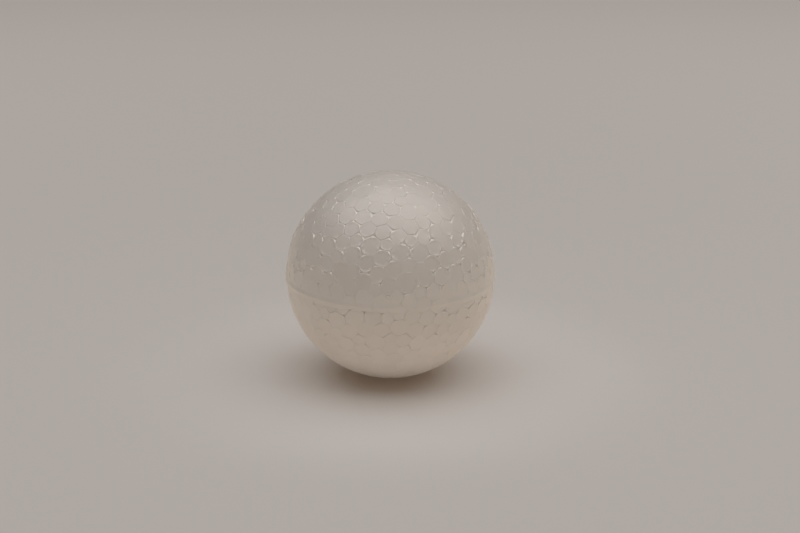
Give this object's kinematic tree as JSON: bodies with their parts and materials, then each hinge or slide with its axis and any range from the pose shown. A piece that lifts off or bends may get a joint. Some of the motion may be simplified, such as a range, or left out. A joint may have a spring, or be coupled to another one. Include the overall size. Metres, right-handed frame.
{
  "type": "foam ball",
  "caption": "Solid moulded bead-foam ball with a low raised mould line round its equator, for crafts, models, floats and light spacers.",
  "frame": {"origin": "centre of the ball", "axes": "+Z square to the plane of the mould line, which lies level at z = 0; the ball is the same all round +Z"},
  "size_m": [0.0508, 0.0508, 0.05],
  "materials": {
    "bead_foam": "off-white expanded bead foam, moulded: flattened bead faces about 4 mm across with fine grooves between them and small pits where three meet, satin skin, slightly translucent"
  },
  "bodies": {
    "root": {"foam_ball": "bead_foam"}
  },
  "joints": []
}
